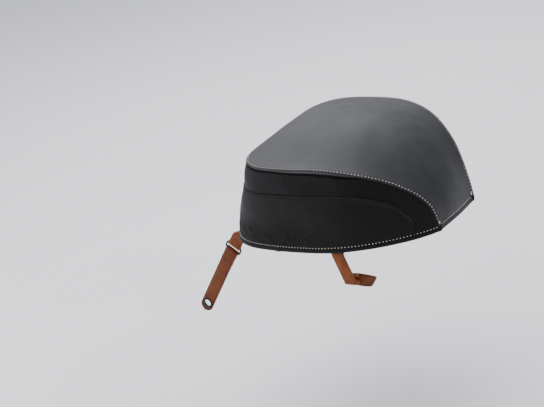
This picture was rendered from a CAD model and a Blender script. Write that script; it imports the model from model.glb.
import math

import bmesh
import bpy
import numpy as np
from mathutils import Matrix, Vector, noise


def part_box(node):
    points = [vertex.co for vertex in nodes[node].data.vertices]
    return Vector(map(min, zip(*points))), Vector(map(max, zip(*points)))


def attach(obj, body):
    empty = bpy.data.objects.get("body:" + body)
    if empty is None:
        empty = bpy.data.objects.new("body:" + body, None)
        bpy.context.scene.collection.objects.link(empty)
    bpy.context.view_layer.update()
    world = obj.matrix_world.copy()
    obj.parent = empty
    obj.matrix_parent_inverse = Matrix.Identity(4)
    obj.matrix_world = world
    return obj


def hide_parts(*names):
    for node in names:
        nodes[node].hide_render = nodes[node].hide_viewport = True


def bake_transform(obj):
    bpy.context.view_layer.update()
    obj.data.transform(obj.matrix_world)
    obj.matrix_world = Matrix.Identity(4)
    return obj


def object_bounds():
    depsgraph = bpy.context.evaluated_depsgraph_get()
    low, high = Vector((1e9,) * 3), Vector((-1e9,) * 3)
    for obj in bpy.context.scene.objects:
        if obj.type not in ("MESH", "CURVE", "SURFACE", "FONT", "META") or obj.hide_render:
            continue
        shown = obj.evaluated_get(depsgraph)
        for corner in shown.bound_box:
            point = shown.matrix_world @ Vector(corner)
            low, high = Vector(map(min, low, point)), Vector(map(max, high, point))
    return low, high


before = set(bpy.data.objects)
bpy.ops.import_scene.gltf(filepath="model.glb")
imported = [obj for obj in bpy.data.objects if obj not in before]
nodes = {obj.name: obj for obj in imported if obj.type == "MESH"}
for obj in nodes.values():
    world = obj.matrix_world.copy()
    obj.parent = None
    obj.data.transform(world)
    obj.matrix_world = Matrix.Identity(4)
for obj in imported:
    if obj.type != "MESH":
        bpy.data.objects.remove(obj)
cad_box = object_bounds()

# ---------------------------------------------------------------------------------------
# Lower panels: one run of black cow leather round the left, front and right of the bag.
# The lower edge is turned under and sewn 9 mm up; the upper edge is turned over the
# gusset band and sewn tone on tone. The leather swells a little over its foam.
MM = 0.001
HEM_Z = 3.0
RIM_Z = 148.0
HEM_OUTLINE = [(-184, 0), (-183, 60), (-179, 106), (-162, 135), (-137, 155), (-100, 166),
               (-30, 170), (40, 164), (100, 141), (150, 107), (178, 78), (191, 58)]
RIM_OUTLINE = [(-132, 0), (-132, 60), (-129, 98), (-119, 122), (-103, 139), (-75, 151),
               (-15, 154), (50, 145), (100, 126), (145, 93), (170, 66), (182, 48)]
SEAM_TOP_Z = 146.0
SEAM_END_Z = 12.5
SEAM_LENGTH = 188.0
SEAM_POWER = 2.1
JOINT_TOP_Z = 101.0
JOINT_LENGTH = 165.0
JOINT_POWER = 2.6
COLUMN_STEP = 3.0
SKIN_THICK = 2.0
FRONT_POINTS = 600
HEM_RUB_Z = 4.5


def outline_at(points, s):
    """Smooth half outline, at positions s counted in its given points."""
    first, last = points[1], np.array(points[-1], float) * 2 - np.array(points[-2], float)
    run = np.array([(first[0], -first[1])] + list(points) + [tuple(last)], float)
    step = np.clip(s.astype(int), 0, len(points) - 2)
    f = (s - step)[:, None]
    a, b, c, d = run[step], run[step + 1], run[step + 2], run[step + 3]
    curve = 2 * b + (c - a) * f + (2 * a - 5 * b + 4 * c - d) * f ** 2
    return 0.5 * (curve + (3 * b - a - 3 * c + d) * f ** 3)


def seam_height(x):
    """Height of the lid's seam in the side view."""
    share = np.clip(x / SEAM_LENGTH, 0, 1)
    fall = (1 - share ** SEAM_POWER) ** (1 / SEAM_POWER)
    return SEAM_END_Z + (SEAM_TOP_Z - SEAM_END_Z) * fall


def joint_height(x):
    """Height of the joint between the lower panels and the gusset band."""
    share = np.clip(x / JOINT_LENGTH, 0, 1)
    return HEM_Z + (JOINT_TOP_Z - HEM_Z) * (1 - share ** JOINT_POWER) ** (1 / JOINT_POWER)


class Columns:
    """Upright lines on the bag's wall, from the front's middle back to one rear corner."""

    def __init__(self, s):
        self.s = s
        self.hem = outline_at(HEM_OUTLINE, s)
        self.rim = outline_at(RIM_OUTLINE, s)

    def at(self, z):
        """Points (x, y, z) of the outer face at height z, one for each column."""
        share = ((z - HEM_Z) / (RIM_Z - HEM_Z))[..., None]
        plan = self.hem + share * (self.rim - self.hem)
        return np.concatenate([plan, np.broadcast_to(z, plan.shape[:-1])[..., None]], -1)

    def where(self, height_of):
        """Height at which each column crosses a line given in the side view."""
        low = np.full(len(self.s), HEM_Z)
        high = np.full(len(self.s), RIM_Z)
        for _ in range(40):
            middle = (low + high) / 2
            above = middle > height_of(self.at(middle)[:, 0])
            low, high = np.where(above, low, middle), np.where(above, middle, high)
        return (low + high) / 2


def length_along(points):
    """Length along a path, from its start to each of its points."""
    return np.concatenate([[0], np.cumsum(np.linalg.norm(np.diff(points, axis=0), axis=1))])


trial = Columns(np.linspace(0, len(HEM_OUTLINE) - 1, 2400))
trial_seam = trial.at(trial.where(seam_height))
trial_run = length_along(trial_seam)
half_count = int(trial_run[-1] / COLUMN_STEP)
half_s = np.interp(np.linspace(0, trial_run[-1], half_count + 1), trial_run, trial.s)
side_of = np.concatenate([-np.ones(half_count), np.ones(half_count + 1)])
columns = Columns(np.concatenate([half_s[:0:-1], half_s]))
seam_z = columns.where(seam_height)
joint_z = columns.where(joint_height)
seam_x = columns.at(seam_z)[:, 0]

front_line = np.column_stack([np.linspace(-400, 0, FRONT_POINTS),
                              np.full(FRONT_POINTS, SEAM_TOP_Z)])
bend = SEAM_LENGTH * np.sin(np.linspace(0, math.pi / 2, 700)) ** (2 / SEAM_POWER)
bend_line = np.column_stack([bend, seam_height(bend)])
seam_line = np.concatenate([front_line[:-1], bend_line, [(188.6, 10.0), (189.4, 7.0), (190, 4)]])


def path_at(at, run, path):
    """Points of a path at given lengths along it."""
    return np.column_stack([np.interp(at, run, path[:, i]) for i in range(3)])


def soften(values, times):
    """Smooth a run of values in place; its two ends stay."""
    for _ in range(times):
        values[1:-1] = (values[:-2] + values[1:-1] * 2 + values[2:]) / 4


def below_seam(drop):
    """Height of each column's point that lies drop below the seam, square to it."""
    heights = np.linspace(HEM_Z, RIM_Z, 140)
    found = np.empty(len(columns.s))
    for i in range(len(columns.s)):
        share = (heights - HEM_Z) / (RIM_Z - HEM_Z)
        x = columns.hem[i, 0] + share * (columns.rim[i, 0] - columns.hem[i, 0])
        near = seam_line[np.abs(seam_line[:, 0] - x.mean()) < 80][None]
        apart = np.hypot(near[..., 0] - x[:, None], near[..., 1] - heights[:, None]).min(1)
        apart = np.where(heights > seam_z[i], -apart, apart)
        found[i] = np.interp(-drop[i], -apart, heights)
    return found


def wall_grid(z):
    """Points and outward directions for heights z[row, column] of the wall."""
    points = columns.at(z)
    points[..., 1] *= side_of
    along = np.gradient(points, axis=1)
    up = columns.at(z + 1.0)
    up[..., 1] *= side_of
    outward = np.cross(up - points, along)
    outward /= np.linalg.norm(outward, axis=-1)[..., None]
    return points, outward


def rows_between(low, high, low_steps, high_steps, middle):
    """Heights of rows: fixed steps near both edges, and even ones between them."""
    room = np.maximum(high - low, 0.4)
    shrink = np.minimum(1, 0.9 * room / (low_steps[-1] + high_steps[-1] + 1))
    start, end = low + low_steps[-1] * shrink, high - high_steps[-1] * shrink
    rows = [low + step * shrink for step in low_steps]
    rows += [start + (end - start) * k / middle for k in range(1, middle)]
    rows += [high - step * shrink for step in reversed(high_steps)]
    return np.array(rows), shrink


def mend(mesh, merge=False, fill=False):
    """Merge a mesh's doubled points or fill its holes, and turn its faces outwards."""
    build = bmesh.new()
    build.from_mesh(mesh)
    if merge:
        bmesh.ops.remove_doubles(build, verts=build.verts, dist=1e-6)
    if fill:
        bmesh.ops.holes_fill(build, edges=build.edges)
    bmesh.ops.recalc_face_normals(build, faces=build.faces)
    build.to_mesh(mesh)
    build.free()


def make_mesh(name, vertices, faces):
    mesh = bpy.data.meshes.new(name)
    mesh.from_pydata([tuple(v) for v in vertices], [], faces)
    mesh.validate()
    mend(mesh, merge=True)
    mesh.polygons.foreach_set("use_smooth", [True] * len(mesh.polygons))
    piece = bpy.data.objects.new(name, mesh)
    bpy.context.collection.objects.link(piece)
    return piece


def closed_sheet(name, outer, inner):
    """A closed piece between two grids of points [row, column], in millimetres."""
    rows, count = outer.shape[:2]
    vertices = np.concatenate([outer.reshape(-1, 3), inner.reshape(-1, 3)]) * MM
    back = rows * count
    faces = []
    for r in range(rows - 1):
        for c in range(count - 1):
            a, b = r * count + c, (r + 1) * count + c
            faces.append((a, a + 1, b + 1, b))
            faces.append((back + a, back + b, back + b + 1, back + a + 1))
    rim = [c for c in range(count)] + [r * count + count - 1 for r in range(1, rows)]
    rim += [(rows - 1) * count + c for c in range(count - 2, -1, -1)]
    rim += [r * count for r in range(rows - 2, 0, -1)]
    for a, b in zip(rim, rim[1:] + rim[:1]):
        faces.append((a, b, back + b, back + a))
    return make_mesh(name, vertices, faces)


def unevenness(points, size, seed, octaves=2):
    """Soft random height, about -1 to 1, at each point of a grid given in millimetres."""
    flat = points.reshape(-1, 3)
    shift = Vector((seed * 7.1, seed * 3.3, seed * 5.7))
    heights = [noise.fractal(Vector(p) / size + shift, 1.0, 2.0, octaves) for p in flat]
    return np.array(heights).reshape(points.shape[:-1])


def bump_at(distance, place, width):
    """A rounded ridge of height 1 at a place."""
    return np.exp(-((distance - place) / width) ** 2)


class Value:
    """A number that varies over a surface, with arithmetic."""

    def __init__(self, finish, socket):
        self.finish = finish
        self.socket = socket

    def math(self, operation, other=0.5, first=None):
        start = self if first is None else first
        return self.finish.node("ShaderNodeMath", {"operation": operation},
                                {0: start, 1: other if first is None else self})

    def __add__(self, other):
        return self.math("ADD", other)

    __radd__ = __add__

    def __mul__(self, other):
        return self.math("MULTIPLY", other)

    __rmul__ = __mul__

    def __sub__(self, other):
        return self.math("SUBTRACT", other)

    def __rsub__(self, other):
        return self.math("SUBTRACT", first=other)


class Finish:
    """A material built up from nodes, with one Principled shader."""

    def __init__(self, name, constants=None):
        self.material = bpy.data.materials.new(name)
        self.material.use_nodes = True
        self.tree = self.material.node_tree
        self.shader = self.tree.nodes["Principled BSDF"]
        for socket, value in (constants or {}).items():
            self.shader.inputs[socket].default_value = value
        self.place = self.node("ShaderNodeTexCoord", output="Object")

    def node(self, kind, settings=None, inputs=None, output=0):
        made = self.tree.nodes.new(kind)
        for key, value in (settings or {}).items():
            setattr(made, key, value)
        for key, value in (inputs or {}).items():
            if isinstance(value, Value):
                self.tree.links.new(value.socket, made.inputs[key])
            else:
                made.inputs[key].default_value = value
        return Value(self, made.outputs[output])

    def noise(self, scale, detail=3.0, roughness=0.55, stretch=(1, 1, 1), warp=0.0):
        place = self.stretched(stretch)
        return self.node("ShaderNodeTexNoise", None, {
            "Vector": place, "Scale": scale, "Detail": detail, "Roughness": roughness,
            "Distortion": warp}, "Fac")

    def stretched(self, stretch):
        if stretch == (1, 1, 1):
            return self.place
        return self.node("ShaderNodeVectorMath", {"operation": "MULTIPLY"},
                         {0: self.place, 1: stretch})

    def cells(self, scale, warp=0.0, stretch=(1, 1, 1)):
        place = self.stretched(stretch)
        if warp:
            push = self.node("ShaderNodeTexNoise", None,
                             {"Vector": place, "Scale": scale * 0.6, "Detail": 2.0}, "Color")
            push = self.node("ShaderNodeVectorMath", {"operation": "SCALE"},
                             {0: push, "Scale": warp / scale})
            place = self.node("ShaderNodeVectorMath", {"operation": "ADD"},
                              {0: place, 1: push})
        return self.node("ShaderNodeTexVoronoi", {"feature": "DISTANCE_TO_EDGE"},
                         {"Vector": place, "Scale": scale}, "Distance")

    def between(self, value, low, high, out_low=0.0, out_high=1.0):
        return self.node("ShaderNodeMapRange", {"interpolation_type": "SMOOTHSTEP"}, {
            "Value": value, "From Min": low, "From Max": high,
            "To Min": out_low, "To Max": out_high})

    def mix(self, share, a, b):
        return self.node("ShaderNodeMix", {"data_type": "RGBA"}, {0: share, 6: a, 7: b}, 2)

    def kept(self, name):
        return self.node("ShaderNodeAttribute", {"attribute_name": name}, output="Fac")

    def bump(self, height, distance, strength=1.0, under=None):
        inputs = {"Height": height, "Distance": distance, "Strength": strength}
        if under is not None:
            inputs["Normal"] = under
        return self.node("ShaderNodeBump", None, inputs)

    def set(self, socket, value):
        self.tree.links.new(value.socket, self.shader.inputs[socket])

    def put_on(self, *pieces):
        for piece in pieces:
            piece.data.materials.clear()
            piece.data.materials.append(self.material)


def settle(piece, finish, body=None):
    """Give a piece its finish and its slot, and the body that it moves with."""
    finish.put_on(piece)
    if body:
        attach(piece, body)


def rgb(red, green, blue):
    """A colour with full cover."""
    return (red, green, blue, 1.0)


def keep_attribute(piece, name, of_point):
    """Store a number at each point of a piece, worked out from its place in millimetres."""
    attribute = piece.data.attributes.new(name, "FLOAT", "POINT")
    places = np.empty(len(piece.data.vertices) * 3)
    piece.data.vertices.foreach_get("co", places)
    values = of_point(places.reshape(-1, 3) / MM)
    attribute.data.foreach_set("value", values.astype(np.float32))


def black_hide(name, dark, light, rough, wrinkles, gloss_level, coat):
    """Black cow leather: fine pebbled grain, soft creases, a satin top coat, worn edges."""
    hide = Finish(name, {"Specular IOR Level": gloss_level, "Coat Roughness": 0.5})
    pebbles = hide.cells(900.0, warp=0.7)
    pebble = hide.between(pebbles, 0.0, 0.22)
    fine = hide.noise(2600.0, 2.0)
    cloud = hide.noise(9.0, 4.0, 0.6)
    patch = hide.noise(38.0, 5.0, 0.62, warp=0.4)
    crease = hide.noise(13.0, 3.0, 0.42, stretch=(0.55, 1.5, 1.0), warp=0.25)
    crease = hide.between((crease - 0.5).math("ABSOLUTE"), 0.0, 0.010)
    crease_zone = hide.between(hide.noise(9.0, 1.0), 0.44, 0.58)
    crease = 1.0 - (1.0 - crease) * crease_zone
    crinkle = hide.cells(185.0, warp=1.2, stretch=(1.0, 1.0, 1.6))
    crinkle = hide.between(crinkle, 0.0, 0.16)
    zone = hide.kept("crinkled")
    worn = hide.kept("worn")
    shade = hide.between(cloud * 0.65 + patch * 0.35, 0.34, 0.66)
    tone = hide.mix(shade, dark, light)
    valley = (1.0 - pebble) * 0.35 + (1.0 - crinkle) * zone * 0.5 + (1.0 - crease) * 0.12
    tone = hide.mix(valley, tone, rgb(*[part * 0.5 for part in dark[:3]]))
    rub = hide.between(worn * (patch * 0.9 + 0.45), 0.25, 0.95)
    rubbed = rgb(*[part * 1.9 + 0.012 for part in light[:3]])
    hide.set("Base Color", hide.mix(rub * 0.75, tone, rubbed))
    gloss = hide.between(patch, 0.3, 0.7, rough - 0.05, rough + 0.06)
    hide.set("Roughness", gloss + (1.0 - pebble) * 0.1 - rub * 0.06)
    hide.set("Coat Weight", hide.between(patch * 0.6 + cloud * 0.4, 0.35, 0.65, 0.2 * coat, coat))
    relief = hide.bump(crease, 0.0012, wrinkles)
    relief = hide.bump(crinkle * zone, 0.004, 1.0, relief)
    relief = hide.bump(pebble * 0.8 + fine * 0.35, 0.00028, 0.55, relief)
    hide.set("Normal", relief)
    return hide


panel_hide = black_hide("black_leather", rgb(0.0022, 0.0021, 0.0022),
                        rgb(0.006, 0.0057, 0.0058), 0.5, 0.2, 0.17, 0.0)

HEM_STEPS = [0, 0.5, 1.3, 2.6, 4.2, 5.8, 7.0, 8.0, 9.0, 10.0, 11.2, 13.0, 16.0]
EDGE_STEPS = [0, 0.4, 1.0, 1.8, 2.6, 3.4, 4.4, 6.0, 8.5]
HEM_SEWN = 9.0
JOINT_SEWN = 2.8
PANEL_SWELL = 2.6


def hem_profile(up):
    """How far the turned and sewn lower edge stands out, at a distance up from it."""
    rounded = -1.6 * np.exp(-up / 0.7)
    return rounded + 0.7 * bump_at(up, 4.2, 3.2) - 1.0 * bump_at(up, HEM_SEWN, 1.5)


def edge_profile(down, thick=1.0):
    """How far a turned edge stands out, at a distance down from it."""
    rounded = -1.2 * np.exp(-down / 0.45)
    rim = 1.0 * thick * np.exp(-(np.maximum(down - 1.6, 0) / 2.6) ** 2)
    return rounded + rim - 0.55 * bump_at(down, JOINT_SEWN, 0.9)


has_panel = np.flatnonzero(joint_z > HEM_Z + 0.6)
panel_part = slice(has_panel[0], has_panel[-1] + 1)
z, shrink = rows_between(np.full(len(columns.s), HEM_Z), joint_z, HEM_STEPS, EDGE_STEPS, 26)
points, outward = wall_grid(z)
up = z - HEM_Z
down = joint_z - z
room = np.maximum(joint_z - HEM_Z - HEM_SEWN, 1.0)
swell = np.sin(np.clip((up - HEM_SEWN) / room, 0, 1) * math.pi) ** 0.75
swell = swell * PANEL_SWELL * np.clip(room / 60, 0, 1)
dents = unevenness(points, 70.0, 1) * 1.5 + unevenness(points, 26.0, 2) * 0.35
calm = np.clip(up / 18, 0, 1) * np.clip(down / 14, 0, 1)
front_low = np.clip((60 - points[..., 0]) / 90, 0, 1) * np.exp(-((up - 24) / 14) ** 2)
folds = unevenness(points * np.array([1.0, 1.0, 1.9]), 9.0, 3) * 1.3 * front_low
stand = hem_profile(up / shrink) * shrink + edge_profile(down / shrink) * shrink
stand = stand + swell + (dents + folds) * calm
outer = points + outward * stand[..., None]
inner = points + outward * np.minimum(stand - 0.6, -SKIN_THICK)[..., None]
panel_z, panel_stand = z, stand
lower_panels = closed_sheet("lower_panels", outer[:, panel_part], inner[:, panel_part])


def panel_crinkle(p):
    """The leather is crinkled low down, most of all at the front."""
    low = np.exp(-((p[:, 2] - 26) / 17) ** 2) * np.clip((45 - p[:, 0]) / 80, 0, 1)
    return np.clip(low, 0, 1) * 0.9 + 0.06


def panel_rub(p):
    """Worn bands along the turned hem and along the joint's edge."""
    joint_edge = joint_height(p[:, 0]) - 2.0
    fall = 1 + 1.6 * np.clip(p[:, 0] / 120, 0, 1) ** 2
    return np.maximum(0.6 * np.exp(-((p[:, 2] - HEM_RUB_Z) / 2) ** 2),
                      0.95 * np.exp(-((p[:, 2] - joint_edge) / (2.3 * fall)) ** 2))


keep_attribute(lower_panels, "crinkled", panel_crinkle)
keep_attribute(lower_panels, "worn", panel_rub)
settle(lower_panels, panel_hide, "root")
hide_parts("left_panel", "front_panel", "right_panel")

# ---------------------------------------------------------------------------------------
# Stitching of the hem: cream saddle thread, one stitch every 5.7 mm, each end drawn down
# into the leather; the joint above is sewn with black thread.
STITCH_PITCH = 5.7
STITCH_LONG = 3.5
THREAD_R = 0.78


def capsules(name, centres, along, side, up, sizes, sink=0.0, rings=6, round_count=8):
    """Rounded bodies of given half sizes, all in one mesh; sink draws their ends down."""
    vertices, faces = [], []
    for centre, a, b, c in zip(centres, along, side, up):
        start = len(vertices)
        for r in range(rings):
            share = -1 + 2 * r / (rings - 1)
            girth = max(1 - abs(share) ** 3.2, 0.12)
            for k in range(round_count):
                turn = 2 * math.pi * k / round_count
                vertices.append(centre + a * sizes[0] * share
                                + b * sizes[1] * girth * math.cos(turn)
                                + c * (sizes[2] * girth * math.sin(turn) - sink * share ** 2))
        for r in range(rings - 1):
            for k in range(round_count):
                m = (k + 1) % round_count
                low, high = start + r * round_count, start + (r + 1) * round_count
                faces.append((low + k, low + m, high + m, high + k))
        faces.append(tuple(range(start + round_count - 1, start - 1, -1)))
        end = start + (rings - 1) * round_count
        faces.append(tuple(range(end, end + round_count)))
    return make_mesh(name, np.array(vertices) * MM, faces)


def unit(vectors):
    """The same directions, each of length 1."""
    return vectors / np.maximum(np.linalg.norm(vectors, axis=-1), 1e-9)[..., None]


def spaced(path, up, pitch, start=0.0):
    """Even places along a path, with their along, side and up directions."""
    run = length_along(path)
    count = int((run[-1] - 2 * start) / pitch)
    at = start + (run[-1] - 2 * start) * (np.arange(count) + 0.5) / count
    centre, rise = path_at(at, run, path), path_at(at, run, up)
    along = unit(path_at(at + 0.8, run, path) - path_at(at - 0.8, run, path))
    side = unit(np.cross(rise, along))
    return centre, along, side, unit(np.cross(along, side))


def stitches(name, path, up, pitch=STITCH_PITCH, long=STITCH_LONG, radius=THREAD_R,
             slant=0.10, height=0.45, start=0.0):
    """A run of separate stitches lying along a path on the leather."""
    centre, along, side, rise = spaced(path, up, pitch, start)
    leaning = unit(along + side * slant)
    across = unit(np.cross(rise, leaning))
    return capsules(name, centre + rise * height, leaning, across, rise,
                    (long / 2, radius, radius * 0.85), sink=0.7)


def needle_holes(name, path, up, pitch=STITCH_PITCH, start=0.0, size=0.62):
    """The dark punched holes between the stitches of a run."""
    run = length_along(path)[-1] - 2 * start
    step = run / int(run / pitch)
    centre, along, side, rise = spaced(path, up, step, start)
    between = centre[:-1] + (centre[1:] - centre[:-1]) / 2
    return capsules(name, between + rise[:-1] * 0.2, along[:-1], side[:-1], rise[:-1],
                    (size * 1.25, size, 0.3), rings=4, round_count=6)


def cotton(name, colour, shadow, sheen):
    """Waxed twisted thread."""
    thread = Finish(name, {"Sheen Weight": sheen, "Sheen Roughness": 0.5,
                           "Specular IOR Level": sheen})
    twist = thread.node("ShaderNodeTexWave", {"bands_direction": "DIAGONAL"}, {
        "Vector": thread.place, "Scale": 420.0, "Distortion": 1.5, "Detail": 1.0}, "Fac")
    soil = thread.noise(130.0, 4.0)
    tone = thread.mix(thread.between(soil, 0.35, 0.75), colour, shadow)
    thread.set("Base Color", thread.mix((1.0 - twist) * 0.3, tone, shadow))
    thread.set("Roughness", thread.between(soil, 0.3, 0.7, 0.55, 0.75))
    thread.set("Normal", thread.bump(twist, 0.0002, 0.6))
    return thread


cream_thread = cotton("cream_thread", rgb(0.80, 0.75, 0.64), rgb(0.50, 0.45, 0.36), 0.25)
punched = Finish("needle_holes", {"Roughness": 0.9, "Specular IOR Level": 0.05})
punched.set("Base Color", punched.mix(punched.noise(200.0), rgb(0.0008, 0.0008, 0.0008),
                                      rgb(0.002, 0.002, 0.002)))
black_thread = cotton("black_thread", rgb(0.002, 0.002, 0.002), rgb(0.001, 0.001, 0.001),
                      0.02)


def wall_line(z, stand):
    """A path along the wall at heights z, standing out from its face, and its directions."""
    points, outward = wall_grid(z[None])
    return (points + outward * np.asarray(stand)[..., None])[0], outward[0]


def stand_of(rows_z, rows_stand, z):
    """How far a wall piece stands out at one height of each column."""
    return np.array([np.interp(z[i], rows_z[:, i], rows_stand[:, i]) for i in range(len(z))])


sewn = has_panel[(joint_z[has_panel] > HEM_Z + 42)]
joint_stand = stand_of(panel_z, panel_stand, joint_z - JOINT_SEWN)
joint_path, joint_up = wall_line(joint_z - JOINT_SEWN, joint_stand)
joint_stitching = stitches("joint_stitching", joint_path[sewn], joint_up[sewn],
                           long=3.6, radius=0.5, height=0.2)
joint_holes = needle_holes("joint_needle_holes", joint_path[sewn], joint_up[sewn], size=1.05)
settle(joint_holes, punched, "root")
settle(joint_stitching, black_thread, "root")

# ---------------------------------------------------------------------------------------
# Gusset band: a strip of thinner black leather round the bag above the lower panels.
# Its lower edge runs under the panels' edge; its upper edge is turned in along the zip.
# Behind the zip it is sewn straight to the lid leather.
GUSSET_TUCK = 5.0
BURIED = -9.0
GUSSET_TOP_STEPS = [0, 0.5, 1.2, 2.2, 3.6, 5.5, 8.0]
TUCK_STEPS = [0, 1.5, 3.0, 4.5, 6.0, 8.0, 9.0, 10.0, 11.5, 14.0]


def eased(share):
    """A share from 0 to 1 that starts and ends gently."""
    share = np.clip(share, 0, 1)
    return share * share * (3 - 2 * share)


def gusset_drop(x, y):
    """How far the band's upper edge lies below the seam: a groove that closes rearwards."""
    groove = 16.8 - 11.2 * eased((np.abs(y) - 66) / 30) + 3.2 * eased((x + 60) / 80)
    shut = eased((x - 66) / 56)
    return groove * (1 - shut) + 0.6 * shut


seam_points = columns.at(seam_z)
band_top = below_seam(gusset_drop(seam_points[:, 0], seam_points[:, 1]))
band_top = np.maximum(band_top, HEM_Z + 1.0)
band_low = np.maximum(joint_z - GUSSET_TUCK, HEM_Z)
for _ in range(3):
    band_low[1:-1] = np.minimum(band_low[1:-1], np.minimum(band_low[:-2], band_low[2:]))
z, shrink = rows_between(band_low, band_top, TUCK_STEPS, GUSSET_TOP_STEPS, 14)
points, outward = wall_grid(z)
up, down = z - band_low, band_top - z
tucked = np.clip((joint_z - HEM_Z) / GUSSET_TUCK, 0, 1)
low_stand = (1 - tucked) * hem_profile(up / shrink) * shrink
low_stand = low_stand - tucked * 1.6 * np.clip(1 - up / (GUSSET_TUCK * 1.5), 0, 1)
top_round = -2.2 * np.exp(-down / 0.9)
top_round = top_round - 1.2 * eased((points[..., 0] - 110) / 30) * np.exp(-down / 4)
share = np.clip((z - joint_z) / np.maximum(band_top - joint_z, 1), 0, 1)
belly = np.sin(share * math.pi) * 1.6 * np.clip((band_top - joint_z) / 30, 0, 1)
hollow = np.clip((points[..., 0] + 30) / 60, 0, 1) * np.clip((140 - points[..., 0]) / 40, 0, 1)
dents = unevenness(points, 60.0, 5) * 1.5 + unevenness(points, 22.0, 6) * 0.4
calm = np.clip(up / 10, 0, 1) * np.clip(down / 6, 0, 1)
stand = low_stand + top_round + belly * (1 - 1.6 * hollow) + dents * calm
outer = points + outward * stand[..., None]
inner = points + outward * np.minimum(stand - 0.4, -SKIN_THICK)[..., None]
gusset_band = closed_sheet("gusset_band", outer, inner)
gusset_hide = black_hide("gusset_leather", rgb(0.0025, 0.0025, 0.0028),
                         rgb(0.0065, 0.0062, 0.0065), 0.48, 0.4, 0.14, 0.0)
keep_attribute(gusset_band, "crinkled", lambda p: 0.0 * p[:, 0] + 0.05)
keep_attribute(gusset_band, "worn", lambda p: 0.3 * np.exp(-((p[:, 2] - HEM_RUB_Z) / 2) ** 2))
settle(gusset_band, gusset_hide, "root")
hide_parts("left_gusset", "front_gusset", "right_gusset")

hem_level = np.full(len(columns.s), HEM_Z + HEM_SEWN)
on_panel = stand_of(panel_z, panel_stand, hem_level)
has_joint = joint_z > HEM_Z + 1
on_gusset = np.maximum(np.where(has_joint, on_panel, BURIED), stand_of(z, stand, hem_level))
hem_stand = np.where(joint_z > HEM_Z + HEM_SEWN + 6, on_panel, on_gusset)
# Where the joint runs into the hem, the thread lies on the higher of the two leathers.
meeting = has_joint & (joint_z < HEM_Z + HEM_SEWN + 12)
for _ in range(9):
    wider = np.maximum(hem_stand, np.maximum(np.roll(hem_stand, 1), np.roll(hem_stand, -1)))
    hem_stand = np.where(meeting, wider, hem_stand)
soften(hem_stand, 4)
hem_path, hem_up = wall_line(hem_level, hem_stand)
on_hem = band_top > HEM_Z + HEM_SEWN + 1
hem_stitching = stitches("hem_stitching", hem_path[on_hem], hem_up[on_hem], long=3.0)
hem_holes = needle_holes("hem_needle_holes", hem_path[on_hem], hem_up[on_hem])
settle(hem_holes, punched, "root")
settle(hem_stitching, cream_thread, "root")

# ---------------------------------------------------------------------------------------
# Lid leather: one hide of dark leather from the lid's front edge down to the rear hem,
# crowned over foam. The edge is turned and stands over the zip's groove; behind the zip it
# lies flat on the band. It bends at the living hinge behind the lid.
LID_FRONT_X = -132.0
CROWN = [(-132, 0), (-129, 2.6), (-124, 6.0), (-117, 9.2), (-102, 14), (-75, 20), (-45, 24.2),
         (-15, 26), (20, 25.8), (50, 25), (85, 22), (109, 19.5), (130, 17.4), (145, 16),
         (165, 13), (178, 10), (185, 7), (187.9, 4), (190, 3)]
CORNER_EASING = 12
SPINE_FRONT = 95.0
SPINE_REAR = 55.0
TAIL_HALF = 58.0
LID_SEWN = 2.4
TAIL_SEWN = 8.5
LID_THICK = 2.2
HINGE_REAR_X = 129
HINGE_FRONT_X = 100
SIDE_STEPS = [0, 0.8, 1.6, 2.4, 3.2, 4.0, 5.0, 6.2, 7.4, 8.5, 9.8, 11.5, 13.5, 16.0, 19.5]
INNER_ROWS = 26
ROLL = [(1.6, -2.5), (1.0, -2.9), (0.2, -3.0), (-0.6, -2.8), (-1.1, -2.3), (-1.3, -1.7),
        (-1.2, -1.0), (-0.8, -0.5), (-0.4, -0.2)]

side_view = seam_line[seam_line[:, 0] >= LID_FRONT_X - 6]
side_run = length_along(side_view)
side_run -= np.interp(LID_FRONT_X, side_view[:FRONT_POINTS, 0], side_run[:FRONT_POINTS])
side_along = unit(np.gradient(side_view, side_run, axis=0))
soften(side_along, 60)
side_along = unit(side_along)


def side_at(run):
    """Point and outward direction (x, z) of the lid's side view, run along it."""
    point = np.stack([np.interp(run, side_run, side_view[:, i]) for i in (0, 1)], -1)
    ahead = np.stack([np.interp(run, side_run, side_along[:, i]) for i in (0, 1)], -1)
    return point, np.stack([-ahead[..., 1], ahead[..., 0]], -1), ahead


def mirrored(values, sign=1):
    """A half loop's values, followed by those of its mirror half."""
    return np.concatenate([values, sign * values[-2:0:-1]])


# The lid's edge as a closed loop of places: run along the side view and y across, and the
# place on the middle line (its spine) that each of them looks towards.
half = slice(half_count, None)
edge_points = columns.at(seam_z)[half]
edge_run = np.interp(edge_points[:, 0], side_view[:, 0], side_run)
fallen = edge_points[:, 2] < SEAM_END_Z + 0.3
edge_points, edge_run = edge_points[~fallen], np.maximum.accumulate(edge_run[~fallen])
run_end = side_run[-1]
drop_steps = np.linspace(edge_run[-1], run_end, 7)[1:]
edge_run = np.concatenate([edge_run, drop_steps])
edge_half = np.concatenate([edge_points[:, 1], np.full(len(drop_steps), TAIL_HALF)])
easing = len(drop_steps) + CORNER_EASING
edge_half[-easing:] = np.linspace(edge_half[-easing], TAIL_HALF, easing)
corner = len(edge_run) - 1
tail_y = np.linspace(TAIL_HALF, 0, 22)[1:]
loop_run = np.concatenate([edge_run, np.full(len(tail_y), run_end)])
loop_y = np.concatenate([edge_half, tail_y])
spine_start, spine_end = SPINE_FRONT, run_end - SPINE_REAR
share = np.clip((edge_run - 25) / (edge_run[-1] - 60), 0, 1)
loop_spine = np.concatenate([spine_start + (spine_end - spine_start) * share,
                             np.full(len(tail_y), spine_end)])
reach = 7
smooth = np.ones(2 * reach + 1) / (2 * reach + 1)
loop_spine = np.convolve(np.pad(loop_spine, reach, mode="edge"), smooth, "valid")
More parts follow.
